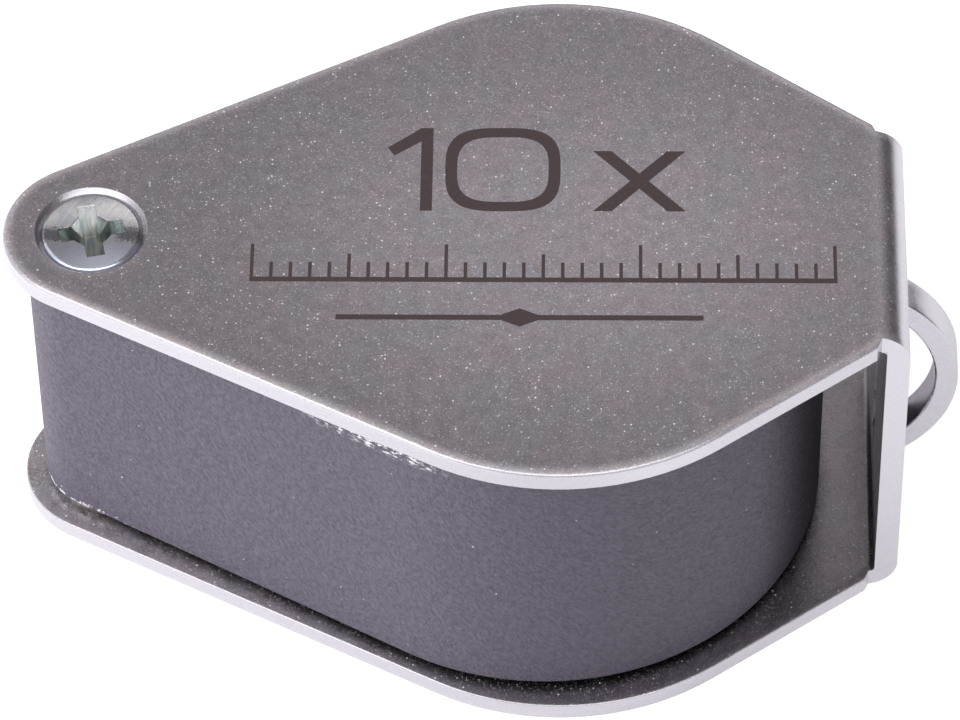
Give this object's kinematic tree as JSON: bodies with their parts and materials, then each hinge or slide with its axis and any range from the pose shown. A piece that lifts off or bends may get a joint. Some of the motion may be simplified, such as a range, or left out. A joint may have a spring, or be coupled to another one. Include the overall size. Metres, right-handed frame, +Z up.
{
  "type": "folding pocket loupe",
  "caption": "Folding pocket loupe: a teardrop lens housing swings out from between the plates of a bent sheet-metal case with a lanyard bow.",
  "frame": {"origin": "where the folded lens's optical axis meets the plane that the loupe rests on", "axes": "+X away from the pivot, to the closed end of the case; +Z up, along the pivot axis and the optical axis; +Y completes the right-handed frame"},
  "size_m": [0.0498, 0.032, 0.0208],
  "materials": {
    "silver_paint": "metallic silver paint with fine glitter, pale cut edges",
    "grained_coating": "dark grey, finely grained",
    "zinc_plate": "bright zinc plating",
    "turned_steel": "turned",
    "nylon": "natural nylon",
    "black_anodised": "black anodised, satin",
    "crown_glass": "polished optical glass",
    "flint_glass": "polished and coated optical glass"
  },
  "bodies": {
    "case": {"case_shell": "silver_paint", "pivot_sleeve": "turned_steel", "top_pivot_screw": "zinc_plate", "bottom_pivot_screw": "zinc_plate", "bottom_thrust_washer": "nylon", "top_thrust_washer": "nylon", "disc_spring": "turned_steel"},
    "lens_holder": {"lens_housing": "grained_coating", "lens_cell": "black_anodised", "lens_retaining_ring": "black_anodised", "crown_lens": "crown_glass", "top_flint_lens": "flint_glass", "bottom_flint_lens": "flint_glass"}
  },
  "joints": [
    {"name": "lens_swing", "type": "hinge", "parent": "case", "child": "lens_holder", "pos_m": [-0.0234, 0, 0], "axis": [0, 0, 1], "continuous": true}
  ]
}
